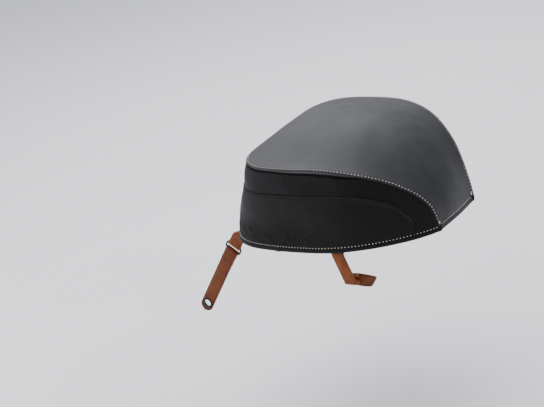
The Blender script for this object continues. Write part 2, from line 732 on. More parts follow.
loop_run, loop_spine = mirrored(loop_run), mirrored(loop_spine)
is_tail = np.zeros(len(loop_y))
is_tail[corner + 1:] = 1.0
loop_y_all, is_tail = mirrored(loop_y, -1), mirrored(is_tail)
edge_direction = np.roll(loop_y_all, -1) - np.roll(loop_y_all, 1)
run_direction = np.roll(loop_run, -1) - np.roll(loop_run, 1)
inward = unit(np.column_stack([edge_direction, -run_direction]))
to_spine = np.column_stack([loop_spine - loop_run, -loop_y_all])
if (inward * to_spine).sum() < 0:
    inward = -inward
for _ in range(14):
    inward = unit(np.roll(inward, 1, 0) + 2 * inward + np.roll(inward, -1, 0))
spine_far = np.linalg.norm(to_spine, axis=1)

crown_run = np.interp([x for x, _ in CROWN], side_view[:, 0], side_run)
crown_fine = np.linspace(0, run_end, 400)
crown_curve = np.interp(crown_fine, crown_run, [h for _, h in CROWN])
soften(crown_curve, 12)
half_curve = np.interp(crown_fine, edge_run, edge_half)


def lid_surface(run, y, lift):
    """Points of the lid at run along the side view and y across, lifted off its face."""
    point, outward, _ = side_at(run)
    crown = np.interp(run, crown_fine, crown_curve)
    reach = np.interp(run, crown_fine, half_curve)
    height = crown * (1 - np.clip(np.abs(y) / reach, 0, 1) ** 2) ** 1.7 + lift
    x = point[..., 0] + outward[..., 0] * height
    return np.stack([x, y, point[..., 1] + outward[..., 1] * height], -1)


def lid_ring(depth, lift):
    """One ring of points round the lid, depth in from its edge (negative is outside)."""
    depth = np.broadcast_to(depth, loop_run.shape)
    share = np.clip((depth - 5) / 26, 0, 1)[:, None]
    share = share * share * (3 - 2 * share)
    plain = inward * depth[:, None]
    aimed = to_spine * (depth / spine_far)[:, None]
    offset = plain * (1 - share) + aimed * share
    return lid_surface(loop_run + offset[:, 0], loop_y_all + offset[:, 1], lift)


edge_x = np.interp(loop_run, side_run, side_view[:, 0])
flush = np.clip((edge_x - 78) / 34, 0, 1)
flush = flush * flush * (3 - 2 * flush)
full_edge = 1 - 0.15 * flush
sewn_at = LID_SEWN + (TAIL_SEWN - LID_SEWN) * is_tail
for _ in range(2):
    sewn_at = (np.roll(sewn_at, 1) + 2 * sewn_at + np.roll(sewn_at, -1)) / 4


def lid_relief(points, depth):
    """Soft swelling, dents and long creases of the padded lid, and its sewn channel."""
    channel = -0.75 * bump_at(depth, sewn_at, 1.3) + 0.3 * bump_at(depth, sewn_at - 2.2, 1.2)
    calm = np.clip((depth - sewn_at) / 26, 0, 1)
    flat = points.copy()
    flat[:, 2] *= 0.6
    broad = unevenness(flat, 95.0, 8) * 2.0 + unevenness(flat, 38.0, 9) * 0.7
    return channel + calm * broad + 0.25 * bump_at(depth, sewn_at + 7, 5)


inner_shares = np.linspace(0, 1, INNER_ROWS + 1)[1:] ** 1.15
outer_depths = [np.full(len(loop_run), d) for d in SIDE_STEPS]
outer_depths += [SIDE_STEPS[-1] + (spine_far - SIDE_STEPS[-1]) * g for g in inner_shares]


def lid_sheet(top_lift, bottom_lift, first_depth, with_roll):
    """Grid rows of a closed layer of the lid: outer face, edge, and inner face."""
    rows = []
    for depth in reversed(outer_depths):
        if depth[0] >= first_depth or depth[0] > SIDE_STEPS[-1]:
            flat = lid_ring(depth, 0.0)
            rows.append(lid_ring(depth, lid_relief(flat, depth) + top_lift))
    if with_roll:
        for depth, lift in reversed(ROLL):
            rows.append(lid_ring(depth * full_edge, lift * full_edge))
    for depth in outer_depths:
        if depth[0] >= max(first_depth, 2.4) or depth[0] > SIDE_STEPS[-1]:
            flat = lid_ring(depth, 0.0)
            rows.append(lid_ring(depth, lid_relief(flat, depth) + bottom_lift))
    return np.array(rows)


def ring_piece(name, rows):
    """A closed piece from rings of points; the first and last ring close on the spine."""
    count = rows.shape[1]
    faces = []
    for r in range(len(rows) - 1):
        for c in range(count):
            d = (c + 1) % count
            faces.append((r * count + c, r * count + d,
                          (r + 1) * count + d, (r + 1) * count + c))
    return make_mesh(name, rows.reshape(-1, 3) * MM, faces)


def on_middle_line(x):
    """The lid's surface on its middle line at x, in metres."""
    run = np.array([np.interp(x, side_view[:, 0], side_run)])
    return tuple(lid_surface(run, np.zeros(1), 0.0)[0] * MM)


def bend_at_hinge(piece):
    """The piece stays with the bag behind the hinge and turns with the lid before it."""
    on_middle_line(HINGE_REAR_X)
    on_middle_line(HINGE_FRONT_X)
    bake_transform(piece)


lid_leather = ring_piece("lid_cover", lid_sheet(0.0, -LID_THICK, 0.0, True))
lid_hide = black_hide("lid_leather", rgb(0.0095, 0.0094, 0.0118), rgb(0.021, 0.0208, 0.0248),
                      0.45, 0.3, 0.36, 0.1)
lid_edge_ring = lid_ring(-0.9, -1.4)


def near_lid_edge(p):
    """Wear along the lid's turned edge."""
    near = np.empty(len(p))
    for start in range(0, len(p), 2000):
        block = p[start:start + 2000, None, :] - lid_edge_ring[None]
        near[start:start + 2000] = np.sqrt((block ** 2).sum(-1)).min(1)
    return 0.55 * np.exp(-(near / 1.5) ** 2)


keep_attribute(lid_leather, "crinkled",
               lambda p: 0.04 * bump_at(np.hypot(p[:, 0] + 40, p[:, 1] + 40), 0, 45))
keep_attribute(lid_leather, "worn", near_lid_edge)
settle(lid_leather, lid_hide)
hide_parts("lid_leather", "lid_edge", "tail_leather", "rear_hem")
bend_at_hinge(lid_leather)

# ---------------------------------------------------------------------------------------
# Stitching of the lid: cream thread all round inside the turned edge, ending in a bar of
# tight stitches at each rear corner, and a finer run across the rear hem.
def part_of_loop(first, last, depth, lift):
    """A stretch of the ring at one depth, with its directions out of the leather."""
    ring = lid_ring(depth, lift)
    above = lid_ring(depth, lift + 1.0)
    picks = np.arange(first, last) % len(loop_run)
    return ring[picks], unit(above - ring)[picks]


around = len(loop_run)
edge_level = side_at(edge_run)[0][:, 1]
down_to = int(np.argmin(np.abs(edge_level - SEAM_END_Z - 3.0)))
path, rise = part_of_loop(-down_to, down_to + 1, LID_SEWN, -0.6)
lid_stitching = stitches("lid_stitching", path, rise, long=2.9, height=0.75)
lid_holes = needle_holes("lid_needle_holes", path, rise, size=0.8)
path, rise = part_of_loop(corner + 1, around - corner, TAIL_SEWN, -0.6)
tail_stitching = stitches("tail_stitching", path, rise, pitch=4.8, long=3.1)
tail_holes = needle_holes("tail_needle_holes", path, rise, pitch=4.8)
for holes in (lid_holes, tail_holes):
    settle(holes, punched)
    bend_at_hinge(holes)
bars = []
for corner_pick in (down_to, -down_to):
    path, rise = part_of_loop(corner_pick - 2, corner_pick + 3, LID_SEWN + 0.8, -0.4)
    bars.append((path, rise))
path = np.concatenate([bars[0][0], bars[1][0]])
rise = np.concatenate([bars[0][1], bars[1][1]])
count = len(path) // 2
place, up_way, along_way, cross_way = [], [], [], []
BAR_STITCHES = 4
for at in (0, count):
    ahead = unit(path[at + count - 1] - path[at])
    for k in range(BAR_STITCHES):
        place.append(path[at + count // 2] + ahead * (k - 1.5) * 1.1 + rise[at] * 0.4)
        up_way.append(rise[at])
        along_way.append(np.cross(rise[at], ahead))
        cross_way.append(ahead)
corner_bars = capsules("corner_bars", place, along_way, cross_way, up_way, (2.4, 0.55, 0.5))
for piece in (lid_stitching, tail_stitching, corner_bars):
    settle(piece, cream_thread)
    bend_at_hinge(piece)

# ---------------------------------------------------------------------------------------
# Lid padding and lining: 4 mm foam under the leather, and a grey woven lining turned up
# at the edge and glued in. Both bend at the hinge with the leather.
LINING_THICK = 0.8
FOAM_THICK = 3.9


def woven(name, dark, light, scale, rough=0.85):
    """Plain woven cloth with raised threads."""
    cloth = Finish(name, {"Sheen Weight": 0.3, "Sheen Roughness": 0.6,
                          "Specular IOR Level": 0.25})
    threads = []
    for direction in ("X", "Y", "Z"):
        threads.append(cloth.node("ShaderNodeTexWave", {"bands_direction": direction}, {
            "Vector": cloth.place, "Scale": scale, "Distortion": 0.6, "Detail": 1.0}, "Fac"))
    weave = (threads[0] * threads[1] + threads[1] * threads[2] + threads[0] * threads[2]) * 0.4
    cloud = cloth.noise(22.0, 4.0)
    tone = cloth.mix(cloth.between(cloud, 0.3, 0.7), dark, light)
    cloth.set("Base Color", cloth.mix((1.0 - weave) * 0.45, tone, dark))
    cloth.set("Roughness", cloth.between(cloud, 0.3, 0.7, rough - 0.06, rough + 0.06))
    cloth.set("Normal", cloth.bump(weave, 0.0003, 0.7))
    return cloth


lining_cloth = woven("lining", rgb(0.055, 0.056, 0.06), rgb(0.10, 0.10, 0.108), 260.0)
sponge = Finish("foam", {"Specular IOR Level": 0.2})
pores = sponge.cells(1400.0, warp=0.5)
sponge.set("Base Color", sponge.mix(sponge.between(pores, 0, 0.2), rgb(0.12, 0.12, 0.12),
                                    rgb(0.30, 0.30, 0.31)))
sponge.set("Roughness", sponge.between(sponge.noise(60.0), 0.3, 0.7, 0.85, 0.95))
sponge.set("Normal", sponge.bump(pores, 0.0004, 0.6))

lid_padding = ring_piece("lid_padding",
                         lid_sheet(-LID_THICK - 0.05, -LID_THICK - FOAM_THICK, 4.0, False))
settle(lid_padding, sponge)
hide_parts("lid_foam", "tail_foam")
bend_at_hinge(lid_padding)

lid_lining = ring_piece("lid_lining_cloth",
                        lid_sheet(-LID_THICK - FOAM_THICK - 0.1,
                                  -LID_THICK - FOAM_THICK - LINING_THICK, 3.2, False))
settle(lid_lining, lining_cloth)
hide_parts("lid_lining", "tail_lining")
bend_at_hinge(lid_lining)

# ---------------------------------------------------------------------------------------
# Wall padding and lining: foam behind the wall leather and the same woven lining inside
# it, sewn along the foot of the zip. The floor is lined too.
FOAM_TOP = 20.0
REAR_CLEAR = 7.4
FOAM_LOW_Z = 9.0
FOAM_DEPTHS = (2.3, 4.9)
LINING_LOW_Z = 8.2
LINING_DEPTHS = (5.0, 6.0)
FLOOR_LINING_Z = 8.1
FLOOR_MIDDLE_X = 10.0
PLAIN_LOW = [0, 1.0, 2.5, 5.0, 9.0]
PLAIN_HIGH = [0, 0.8, 2.0, 4.0, 8.0]

lining_drop = FOAM_TOP + (REAR_CLEAR - FOAM_TOP) * eased((seam_x - 99) / 10)
band_drop = gusset_drop(seam_points[:, 0], seam_points[:, 1])
pad_top = np.maximum(below_seam(np.maximum(lining_drop, band_drop + 3)), HEM_Z + 7)
lining_top = np.maximum(below_seam(lining_drop), HEM_Z + 7)


def wall_layer(name, low, high, depths, swell_in, seed):
    """A closed layer of the wall between two depths, swelling inwards between its edges."""
    outside, inside = depths
    z, _ = rows_between(low, high, PLAIN_LOW, PLAIN_HIGH, 16)
    points, outward = wall_grid(z)
    share = np.clip((z - low) / np.maximum(high - low, 1), 0, 1)
    give = swell_in * np.sin(share * math.pi) + unevenness(points, 45.0, seed) * swell_in * 0.5
    edges = np.minimum(z - low, high - z)
    round_off = 0.3 * (inside - outside) * np.exp(-edges / 0.8)
    outer = points - outward * outside
    inner = points - outward * (inside + give - round_off)[..., None]
    ends = slice(3, -3)
    return closed_sheet(name, outer[:, ends], inner[:, ends])


count = len(columns.s)
wall_padding = wall_layer("wall_padding", np.full(count, FOAM_LOW_Z), pad_top, FOAM_DEPTHS,
                          0.0, 11)
settle(wall_padding, sponge, "root")
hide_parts("left_foam", "front_foam", "right_foam")

wall_lining = wall_layer("wall_lining", np.full(count, LINING_LOW_Z), lining_top, LINING_DEPTHS,
                         0.9, 12)
settle(wall_lining, lining_cloth, "root")
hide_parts("left_lining", "front_lining", "right_lining")

floor_low, _ = wall_grid(np.full((1, count), FLOOR_LINING_Z))
floor_edge = floor_low[0]
middle = np.array([FLOOR_MIDDLE_X, 0.0, 0.0])
rings = []
for share, rise_by in ((0.02, 1.2), (0.25, 1.2), (0.5, 1.1), (0.75, 1.2), (0.9, 1.0),
                       (0.955, 0.4)):
    ring = middle + (floor_edge - middle) * share
    ring[:, 2] = FLOOR_LINING_Z + rise_by
    ring[:, 2] += unevenness(ring, 30.0, 14) * 0.3 * min(1.0, share * 1.2)
    rings.append(ring)
for share in (0.955, 0.9, 0.5, 0.02):
    ring = middle + (floor_edge - middle) * share
    ring[:, 2] = FLOOR_LINING_Z
    rings.append(ring)
floor_lining = ring_piece("floor_lining", np.array(rings))
mend(floor_lining.data, fill=True)
settle(floor_lining, lining_cloth, "root")
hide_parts("lining_floor")

# ---------------------------------------------------------------------------------------
# Zip: black woven tapes with moulded teeth, the upper one on the lid and the lower one
# behind the gusset band. Two painted sliders meet at the middle of the front.
ZIP_DEPTH = 6.4
ZIP_REAR_X = 103.0
TAPE_REAR_X = 152.0
UPPER_TAPE = (10.8, 3.2)
LOWER_TAPE = (26.5, 15.4)
UPPER_TEETH = 12.0
LOWER_TEETH = 14.2
TOOTH_PITCH = 3.2

zipped = np.flatnonzero(seam_x < ZIP_REAR_X)
taped = np.flatnonzero(seam_x < TAPE_REAR_X)
past_zip = eased((seam_x - 84) / 40)


def zip_line(drop, depth, part=zipped):
    """A line along the zip, a drop below the seam and a depth behind the wall's face."""
    z = below_seam(drop * np.ones(count))
    points, outward = wall_grid(z[None])
    line = points[0] - outward[0] * np.broadcast_to(depth, count)[:, None]
    return line[part], outward[0][part]


def zip_tape(name, span, depth, part, thick=0.8):
    """A woven tape between two lines along the zip, slightly rippled."""
    outer, inner = [], []
    for k in range(6):
        drop = span[0] + (span[1] - span[0]) * k / 5
        line, outward = zip_line(drop, depth, part)
        ripple = unevenness(line, 12.0, 15)[:, None] * 0.12
        outer.append(line + outward * (thick / 2 + ripple))
        inner.append(line - outward * (thick / 2 - ripple))
    return closed_sheet(name, np.array(outer), np.array(inner))


tape_cloth = woven("zip_tape", rgb(0.003, 0.003, 0.003), rgb(0.010, 0.010, 0.010), 420.0, 0.8)


def speckled(name, constants, grain, tone_span, dark, light, rough_span, relief=None):
    """A hard finish whose tone and gloss vary with one fine noise."""
    finish = Finish(name, constants)
    speck = finish.noise(*grain)
    finish.set("Base Color", finish.mix(finish.between(speck, *tone_span), dark, light))
    finish.set("Roughness", finish.between(speck, 0.3, 0.7, *rough_span))
    if relief:
        finish.set("Normal", finish.bump(speck, *relief))
    return finish


tooth_plastic = speckled("zip_teeth", {"Specular IOR Level": 0.45}, (300.0, 4.0), (0.4, 0.7),
                         rgb(0.006, 0.006, 0.006), rgb(0.018, 0.018, 0.018), (0.28, 0.45))
lower_span = (LOWER_TAPE[0], LOWER_TAPE[1] + (4.0 - LOWER_TAPE[1]) * past_zip)
for name, span, depth, part, tooth_drop, shift, body in (
        ("upper", UPPER_TAPE, ZIP_DEPTH, zipped, UPPER_TEETH, 0.0, "lid"),
        ("lower", lower_span, ZIP_DEPTH - 2.0 * past_zip, taped, LOWER_TEETH,
         TOOTH_PITCH / 2, "root")):
    tape = zip_tape("zip_tape_" + name, span, depth, part)
    settle(tape, tape_cloth, body)
    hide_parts(f"zip_{name}_tape")
    line, outward = zip_line(tooth_drop, ZIP_DEPTH)
    centre, along, side, rise = spaced(line, outward, TOOTH_PITCH, start=2.0 + shift)
    teeth = capsules("zip_teeth_" + name, centre, side, along, rise, (2.0, 0.85, 1.15),
                     rings=5, round_count=6)
    settle(teeth, tooth_plastic, body)
    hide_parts(f"zip_{name}_teeth")

zip_metal = speckled("zip_metal", {"Metallic": 0.85, "Specular IOR Level": 0.5},
                     (420.0, 5.0, 0.7), (0.62, 0.7), rgb(0.015, 0.015, 0.016),
                     rgb(0.12, 0.11, 0.10), (0.32, 0.5), (0.00015, 0.4))
zip_metal.put_on(*[nodes[n] for n in ("zip_stops", "slider_left", "slider_right",
                                      "pull_wire_left", "pull_wire_right")])

# ---------------------------------------------------------------------------------------
# Zip pulls: two small tabs of tan saddle leather, folded over the slider's wire and sewn.
# The same leather makes all the straps: skived, creased near the edges, edges painted.
def saddle_leather(name, dark, light):
    """Oiled tan leather: streaked and scuffed, creased, paler on its edges and back."""
    hide = Finish(name, {"Specular IOR Level": 0.15, "Coat Roughness": 0.4})
    cloud = hide.noise(26.0, 5.0, 0.62, warp=0.5)
    streak = hide.noise(60.0, 4.0, 0.6, stretch=(1.0, 1.0, 0.35))
    pebbles = hide.cells(1100.0, warp=0.8)
    pebble = hide.between(pebbles, 0.0, 0.2)
    pores = hide.between(hide.noise(1500.0, 2.0), 0.36, 0.46)
    scuffs = hide.between(hide.noise(95.0, 6.0, 0.7, warp=1.0), 0.6, 0.72)
    edge = hide.kept("edge")
    flesh = hide.kept("flesh")
    shade = hide.between(cloud * 0.6 + streak * 0.4, 0.36, 0.64)
    tone = hide.mix(shade, dark, light)
    tone = hide.mix(scuffs * 0.35, tone, rgb(0.27, 0.088, 0.034))
    tone = hide.mix((1.0 - pores) * 0.5, tone, rgb(0.05, 0.014, 0.005))
    tone = hide.mix(hide.between(flesh, 0.4, 0.6) * 0.85, tone, rgb(0.40, 0.19, 0.095))
    tone = hide.mix(hide.between(edge, 0.35, 0.8) * 0.7, tone, rgb(0.36, 0.15, 0.07))
    crease = hide.kept("crease")
    tone = hide.mix(crease * 0.8, tone, rgb(0.025, 0.007, 0.003))
    hide.set("Base Color", tone)
    dull = hide.between(flesh, 0.4, 0.6, 0.0, 0.3)
    hide.set("Roughness", hide.between(cloud, 0.3, 0.7, 0.38, 0.52) + dull)
    hide.set("Coat Weight", hide.between(cloud, 0.35, 0.65, 0.0, 0.05))
    relief = hide.bump(streak, 0.0008, 0.25)
    relief = hide.bump(pebble * 0.7 + pores * 0.3, 0.0002, 0.5, relief)
    hide.set("Normal", relief)
    return hide


PULL_LONG = 34.0
PULL_HALF = 3.5
PULL_THICK = 2.8
PULL_SEWN = 13.0
tan_leather = saddle_leather("tan_leather", rgb(0.125, 0.030, 0.0055), rgb(0.25, 0.066, 0.0125))
brown_leather = saddle_leather("tan_leather_oiled", rgb(0.078, 0.0150, 0.0016),
                               rgb(0.160, 0.036, 0.0040))
CREASE_IN = 2.2


def strap_section(half_wide, thick):
    """Cross-section of a strap: across and up, with marks for its edge, crease and back."""
    rows = []
    crease = half_wide - CREASE_IN
    for u, w in ((-half_wide, 0.0), (-half_wide + 0.12, 0.32), (-half_wide + 0.5, 0.47),
                 (-crease - 0.55, 0.5), (-crease, 0.36), (-crease + 0.55, 0.5),
                 (-half_wide * 0.45, 0.51), (0, 0.515), (half_wide * 0.45, 0.51),
                 (crease - 0.55, 0.5), (crease, 0.36), (crease + 0.55, 0.5),
                 (half_wide - 0.5, 0.47), (half_wide - 0.12, 0.32), (half_wide, 0.0)):
        rows.append((u, w * thick, 1.0 if abs(u) > half_wide - 0.3 else 0.0,
                     1.0 if abs(abs(u) - crease) < 0.1 else 0.0, 0.0))
    for u, w in ((half_wide - 0.15, -0.32), (half_wide - 0.5, -0.47), (half_wide * 0.5, -0.5),
                 (0, -0.5), (-half_wide * 0.5, -0.5), (-half_wide + 0.5, -0.47),
                 (-half_wide + 0.15, -0.32)):
        rows.append((u, w * thick, 1.0 if abs(u) > half_wide - 0.3 else 0.0, 0.0, 1.0))
    return np.array(rows)


def strap(name, path, across, half_wide, thick, flip=1.0, seed=0, back=1.0):
    """A leather strap swept along a path; across is its width's direction, or one for each
    point. A back of 0 gives it the grain side on both faces."""
    path = np.array(path, float)
    run = length_along(path)
    count = max(int(run[-1] / 1.6), 8)
    at = np.linspace(0, run[-1], count)
    centre = path_at(at, run, path)
    soften(centre, 2)
    wide = np.interp(at, run, half_wide) if np.ndim(half_wide) else np.full(count, half_wide)
    along = unit(np.gradient(centre, axis=0))
    across = path_at(at, run, np.broadcast_to(np.array(across, float), path.shape))
    face = unit(np.cross(along, across)) * flip
    vertices, marks = [], []
    for k in range(count):
        waver = 0.25 * noise.noise(Vector(centre[k]) / 14 + Vector((seed, 0, 0)))
        for u, w, edge, crease, flesh in strap_section(max(wide[k], 1.5), thick):
            vertices.append(centre[k] + across[k] * (u + waver) + face[k] * w)
            marks.append((edge, crease, flesh * back))
    size = len(strap_section(10, thick))
    faces = []
    for k in range(count - 1):
        for m in range(size):
            n = (m + 1) % size
            faces.append((k * size + m, k * size + n, (k + 1) * size + n, (k + 1) * size + m))
    faces.append(tuple(range(size - 1, -1, -1)))
    faces.append(tuple(range((count - 1) * size, count * size)))
    piece = make_mesh(name, np.array(vertices) * MM, faces)
    keep_marks(piece, np.array(vertices), np.array(marks))
    return piece


def keep_marks(piece, places, marks):
    """Store the strap's edge, crease and back marks at its points."""
    order = {tuple(np.round(p, 3)): m for p, m in zip(places, marks)}
    found = [order.get(tuple(np.round(np.array(v.co) / MM, 3)), (0, 0, 0))
             for v in piece.data.vertices]
    for k, name in enumerate(("edge", "crease", "flesh")):
        attribute = piece.data.attributes.new(name, "FLOAT", "POINT")
        attribute.data.foreach_set("value", [float(m[k]) for m in found])


def arc(middle, radius, start, end, steps=10):
    """Points (a, b) of an arc in a plane, with angles in degrees."""
    turn = np.radians(np.linspace(start, end, steps))
    return [(middle[0] + radius * math.cos(t), middle[1] + radius * math.sin(t)) for t in turn]


def joined(name, pieces):
    """One object from several that overlap."""
    for piece in pieces:
        piece.select_set(True)
    bpy.context.view_layer.objects.active = pieces[0]
    bpy.ops.object.join()
    pieces[0].name = name
    bpy.ops.object.select_all(action="DESELECT")
    return pieces[0]


def tan_piece(piece, nodes, body=None, hide=tan_leather):
    """Finish a strap or tab and let it stand in for its plain nodes."""
    settle(piece, hide, body)
    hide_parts(*nodes)


def rounded(share, round_part=0.16):
    """Half width, as a share, along a tab with rounded ends."""
    near = min(share, 1 - share) / round_part
    return math.sqrt(max(1 - (1 - min(near, 1)) ** 2, 0.02))


front_slope = unit(np.array([HEM_OUTLINE[0][0] - RIM_OUTLINE[0][0], 0.0, HEM_Z - RIM_Z]))
for side in ("left", "right"):
    low, high = (np.array(corner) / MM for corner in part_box("pull_tab_" + side))
    middle = (low + high) / 2
    shares = np.linspace(0, 1, 30)
    path = [middle + front_slope * (share - 0.5) * PULL_LONG for share in shares]
    half_wide = [PULL_HALF * rounded(share) for share in shares]
    tab = strap("pull_leather_" + side, path, (0, 1, 0), half_wide, PULL_THICK,
                flip=-1.0, back=0.0)
    tan_piece(tab, ["pull_tab_" + side], "pull_" + side)
    outward = np.array([front_slope[2], 0, -front_slope[0]])
    line = np.array([middle + front_slope * k + outward * PULL_THICK / 2
                     for k in np.linspace(-PULL_SEWN, PULL_SEWN, 20)])
    row = stitches("pull_stitching_" + side, line, np.tile(outward, (20, 1)),
                   pitch=3.4, long=2.4, radius=0.35, height=0.1)
    settle(row, cream_thread, "pull_" + side)

# ---------------------------------------------------------------------------------------
# Front straps: a short tab folded round a black wire ring and sewn under the base, and a
# long strap with its upper end folded round the ring's lower bar, ending in an eyelet.
STRAP_HALF = 12.0
STRAP_THICK = 2.5
LEAF_THICK = 2.2
RING_UP = -27.0
RING_DOWN = -39.0
RING_HALF = 14.5
RING_WIRE = 1.5
BAR_TURN = 3.05
STRAP_END = -189.0
EYELET_AT = -172.0
EYELET_HOLE_R = 8.0
RING_BEND = 3.0
STRAP_SLOPE = math.radians(36.4)
strap_root = {s: np.array([-177.0, y, 0.3]) for s, y in (("left", -114.0), ("right", 114.0))}
strap_across = np.array([math.cos(STRAP_SLOPE), 0, -math.sin(STRAP_SLOPE)])
strap_up = np.array([math.sin(STRAP_SLOPE), 0, math.cos(STRAP_SLOPE)])

black_wire = speckled("black_wire", {"Specular IOR Level": 0.25}, (500.0, 4.0), (0.45, 0.75),
                      rgb(0.008, 0.008, 0.008), rgb(0.03, 0.03, 0.03), (0.5, 0.65),
                      (0.0001, 0.4))


def wire_loop(name, corners_path, radius):
    """A closed loop of round wire along a path."""
    path = np.array(corners_path)
    count = len(path)
    along = unit(np.roll(path, -1, 0) - np.roll(path, 1, 0))
    flat = unit(np.cross(path[count // 4] - path[0], path[count // 2] - path[0]))
    side = unit(np.cross(along, flat))
    vertices = []
    for k in range(count):
        for m in range(12):
            turn = 2 * math.pi * m / 12
            vertices.append(path[k] + side[k] * radius * math.cos(turn)
                            + flat * radius * math.sin(turn))
    faces = []
    for k in range(count):
        for m in range(12):
            n, after = (m + 1) % 12, (k + 1) % count
            faces.append((k * 12 + m, k * 12 + n, after * 12 + n, after * 12 + m))
    return make_mesh(name, np.array(vertices) * MM, faces)


for side, out in (("left", -1.0), ("right", 1.0)):
    root = strap_root[side]
    outside = np.array([0.0, out, 0.0])

    def on_strap(v, w, u=0.0):
        return root + strap_up * v + outside * w + strap_across * u

    inward_way = np.array([math.sin(STRAP_SLOPE), -out * math.cos(STRAP_SLOPE), 0.0])
    foot = [root + inward_way * k + np.array([0, 0, 1.25]) for k in (28, 18, 8, 2.4)]
    web = [on_strap(v, w) for v, w in ((-0.8, -0.1), (-3.5, 0.6), (-12, 0.7), (-19, 1.0),
                                       (-23.5, 2.4))]
    turn = [on_strap(v, w) for w, v in arc((0, RING_UP), BAR_TURN, 20, -200, 16)]
    back = [on_strap(v, w) for v, w in ((-22.5, -2.2), (-18, -1.5), (-12, -1.5), (-6, -1.5))]
    fold_across = np.array([1 / math.cos(STRAP_SLOPE), 0.0, 0.0])
    square = [0.0, 0.1, 0.6, 0.9, 1.0] + [1.0] * (len(turn) + len(back))
    ways = [fold_across] * 4 + [fold_across + (strap_across - fold_across) * k for k in square]
    tab = strap("strap_tab_leather_" + side, foot + web + turn + back, ways,
                STRAP_HALF, LEAF_THICK, flip=-out, seed=3)
    tan_piece(tab, ["strap_tab_" + side], "root")

    outline = []
    corner_u, corner_up, corner_down = (RING_HALF - RING_BEND, RING_UP - RING_BEND,
                                        RING_DOWN + RING_BEND)
    for middle, start in (((corner_u, corner_up), 90), ((corner_u, corner_down), 0),
                          ((-corner_u, corner_down), -90), ((-corner_u, corner_up), -180)):
        outline += arc(middle, RING_BEND, start, start - 90, 8)
    spread = []
    for a, b in zip(outline, outline[1:] + outline[:1]):
        steps = max(int(math.dist(a, b) / 2), 1)
        spread += [(a[0] + (b[0] - a[0]) * k / steps, a[1] + (b[1] - a[1]) * k / steps)
                   for k in range(steps)]
    ring = wire_loop("ring_wire_" + side, [on_strap(v, 0.0, u) for u, v in spread], RING_WIRE)
    settle(ring, black_wire, "ring_" + side)
    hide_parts("strap_ring_" + side)

    turned_end = [on_strap(v, w) for v, w in ((-68, 0.75), (-60, 0.7), (-52, 0.6), (-46, -0.9),
                                              (-43, -2.4))]
    turn = [on_strap(v, w) for w, v in arc((0, RING_DOWN), BAR_TURN, 190, 0, 16)]
    hang = [on_strap(v, BAR_TURN) for v in np.linspace(-44, STRAP_END, 50)]
    path = turned_end + turn + hang
    run = length_along(np.array(path))
    to_end = run[-1] - run
    half_wide = [STRAP_HALF * math.sqrt(max(1 - (1 - min(d / STRAP_HALF, 1)) ** 2, 0.02))
                 for d in to_end]
    long_strap = strap("front_strap_leather_" + side, path, strap_across, half_wide,
                       STRAP_THICK, flip=-out, seed=5)
    bpy.ops.mesh.primitive_cylinder_add(radius=EYELET_HOLE_R * MM, depth=0.02, vertices=40)
    punch = bpy.context.object
    hole = Vector(on_strap(EYELET_AT, BAR_TURN) * MM)
    punch.matrix_world = Matrix.Translation(hole) @ Matrix.Rotation(math.pi / 2, 4, "X")
    cut = long_strap.modifiers.new("hole", "BOOLEAN")
    cut.object = punch
    cut.solver = "EXACT"
    bpy.context.view_layer.objects.active = long_strap
    bpy.ops.object.modifier_apply(modifier="hole")
    bpy.data.objects.remove(punch)
    tan_piece(long_strap, ["front_strap_" + side], "front_strap_" + side, brown_leather)

    for drop, piece_name, body in ((-14.5, "tab", "root"), (-61, "strap", "front_strap_" + side)):
        stand = BAR_TURN + STRAP_THICK / 2 if piece_name == "strap" else 0.7 + LEAF_THICK / 2
        line = np.array([on_strap(drop, stand, u) for u in np.linspace(-9, 9, 10)])
        row = stitches(f"{piece_name}_stitching_{side}", line, np.tile(outside, (10, 1)),
                       pitch=3.6, long=2.6, radius=0.42, height=0.1)
        settle(row, black_thread, body)

eyelet_metal = speckled("eyelet_metal", {"Metallic": 0.9}, (350.0, 5.0, 0.65), (0.55, 0.72),
                        rgb(0.02, 0.02, 0.021), rgb(0.16, 0.15, 0.14), (0.26, 0.42))
eyelet_metal.put_on(nodes["eyelet_left"], nodes["eyelet_right"])

# ---------------------------------------------------------------------------------------
# Rear straps: one leather strip each, sewn flat under the base, hanging over the edge and
# leaning rearwards, folded to hold a luggage hook, with its free flap turned to the rear.
REAR_X = 47.0
REAR_Y = 157.0
REAR_LEAN = math.tan(math.radians(16.0))
REAR_FALL = -52.0
FOLD_TURN = 4.75
LEAF_UP = 12.0
FLAP = [(-12, 12), (12, 14), (30, 12.6), (47, 10), (41, 1), (33, -9), (20, -9.6), (8, -9),
        (-3, -6), (-12, -3)]


